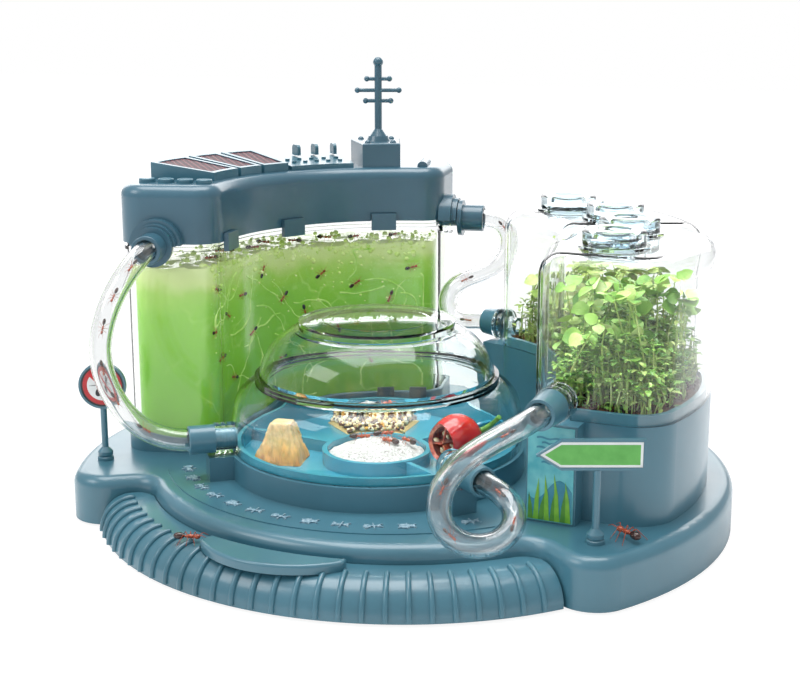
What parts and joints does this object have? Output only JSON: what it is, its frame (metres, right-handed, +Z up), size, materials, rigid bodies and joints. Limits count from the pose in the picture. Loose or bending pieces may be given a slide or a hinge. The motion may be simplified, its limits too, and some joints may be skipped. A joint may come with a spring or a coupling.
{
  "type": "ant habitat",
  "caption": "Ant habitat on a round base: a gel tank, a domed feeding dish and planted jars joined by clear hoses, with lift-off lids and small signs.",
  "frame": {"origin": "centre of the round base, on the surface that the feet stand on", "axes": "+X to the right of a viewer in front, +Y to the back, +Z up; the front faces -Y"},
  "size_m": [0.34, 0.3162, 0.2294],
  "materials": {
    "blue_plastic": "moulded, satin",
    "clear_plastic": "clear, glossy",
    "teal_plastic": "moulded, glossy",
    "green_gel": "translucent gel",
    "clear_hose": "clear, flexible",
    "rubber": "matt",
    "steel": "zinc plated",
    "grey_print": "pale grey relief",
    "solar_maroon": "glossy, dark",
    "sand": "fine white sand",
    "seeds": "mixed seeds",
    "fruit": "moist cut fruit",
    "pepper_red": "glossy skin",
    "soil": "crumbly potting soil",
    "leaves": "small green leaves",
    "sign_print": "printed sign face in a blue frame",
    "picture_print": "printed picture of grass"
  },
  "bodies": {
    "habitat": {"base_shell": "blue_plastic", "base_bottom_plate": "blue_plastic", "ribbed_rail": "blue_plastic", "name_plaque": "blue_plastic", "dome_drum": "blue_plastic", "dome_nozzle_left": "blue_plastic", "dome_nozzle_right": "blue_plastic", "tank_plinth": "blue_plastic", "tank_base_clips": "blue_plastic", "tank_nozzle_left": "blue_plastic", "tank_nozzle_right": "blue_plastic", "front_pot": "blue_plastic", "rear_pot": "blue_plastic", "front_jar_nozzle": "blue_plastic", "rear_jar_nozzle": "blue_plastic", "dome_skirt": "clear_plastic", "tank_shell": "clear_plastic", "front_jar_collar": "clear_plastic", "rear_jar_collar": "clear_plastic", "feeding_tray": "teal_plastic", "gel_block": "green_gel", "rubber_feet": "rubber", "bottom_screws": "steel", "insect_reliefs": "grey_print", "sand_fill": "sand", "seed_heap": "seeds", "fruit_wedge": "fruit", "pepper": "pepper_red", "front_soil": "soil", "rear_soil": "soil", "front_plants": "leaves", "rear_plants": "leaves", "pot_picture_panel": "picture_print", "hose_tank_to_dome": "clear_hose", "hose_tank_to_rear_jar": "clear_hose", "hose_front_jar_to_dome": "clear_hose"},
    "feeding_lid": {"dome_lid": "clear_plastic"},
    "tank_cover": {"tank_lid": "blue_plastic", "tank_lid_clips": "blue_plastic", "solar_housing_1": "blue_plastic", "solar_housing_2": "blue_plastic", "solar_housing_3": "blue_plastic", "solar_cell_1": "solar_maroon", "solar_cell_2": "solar_maroon", "solar_cell_3": "solar_maroon", "lid_buttons": "blue_plastic", "control_console": "blue_plastic", "control_levers": "blue_plastic", "antenna_box": "blue_plastic"},
    "antenna": {"antenna_mast": "blue_plastic"},
    "front_jar_cover": {"front_jar": "clear_plastic"},
    "rear_jar_cover": {"rear_jar": "clear_plastic"},
    "front_cap_a": {"front_jar_cap_1": "clear_plastic"},
    "front_cap_b": {"front_jar_cap_2": "clear_plastic"},
    "rear_cap_a": {"rear_jar_cap_1": "clear_plastic"},
    "rear_cap_b": {"rear_jar_cap_2": "clear_plastic"},
    "left_sign": {"left_sign_post": "blue_plastic", "left_sign_plate": "sign_print"},
    "right_sign": {"right_sign_post": "blue_plastic", "right_sign_plate": "sign_print"}
  },
  "joints": [
    {"name": "feeding_lid_lift", "type": "slide", "parent": "habitat", "child": "feeding_lid", "axis": [0, 0, 1], "range_m": [0, 0.06]},
    {"name": "tank_cover_lift", "type": "slide", "parent": "habitat", "child": "tank_cover", "axis": [0, 0, 1], "range_m": [0, 0.04]},
    {"name": "antenna_swivel", "type": "hinge", "parent": "tank_cover", "child": "antenna", "pos_m": [-0.06253, 0.10125, 0.18], "axis": [0, 0, 1], "continuous": true},
    {"name": "front_jar_lift", "type": "slide", "parent": "habitat", "child": "front_jar_cover", "axis": [0, 0, 1], "range_m": [0, 0.08]},
    {"name": "rear_jar_lift", "type": "slide", "parent": "habitat", "child": "rear_jar_cover", "axis": [0, 0, 1], "range_m": [0, 0.08]},
    {"name": "front_cap_a_lift", "type": "slide", "parent": "front_jar_cover", "child": "front_cap_a", "axis": [0, 0, 1], "range_m": [0, 0.015]},
    {"name": "front_cap_b_lift", "type": "slide", "parent": "front_jar_cover", "child": "front_cap_b", "axis": [0, 0, 1], "range_m": [0, 0.015]},
    {"name": "rear_cap_a_lift", "type": "slide", "parent": "rear_jar_cover", "child": "rear_cap_a", "axis": [0, 0, 1], "range_m": [0, 0.015]},
    {"name": "rear_cap_b_lift", "type": "slide", "parent": "rear_jar_cover", "child": "rear_cap_b", "axis": [0, 0, 1], "range_m": [0, 0.015]},
    {"name": "left_sign_swivel", "type": "hinge", "parent": "habitat", "child": "left_sign", "pos_m": [-0.1402, -0.0678, 0.03], "axis": [0, 0, 1], "continuous": true},
    {"name": "right_sign_swivel", "type": "hinge", "parent": "habitat", "child": "right_sign", "pos_m": [0.1296, -0.0766, 0.03], "axis": [0, 0, 1], "range_deg": [-15, 15]}
  ]
}
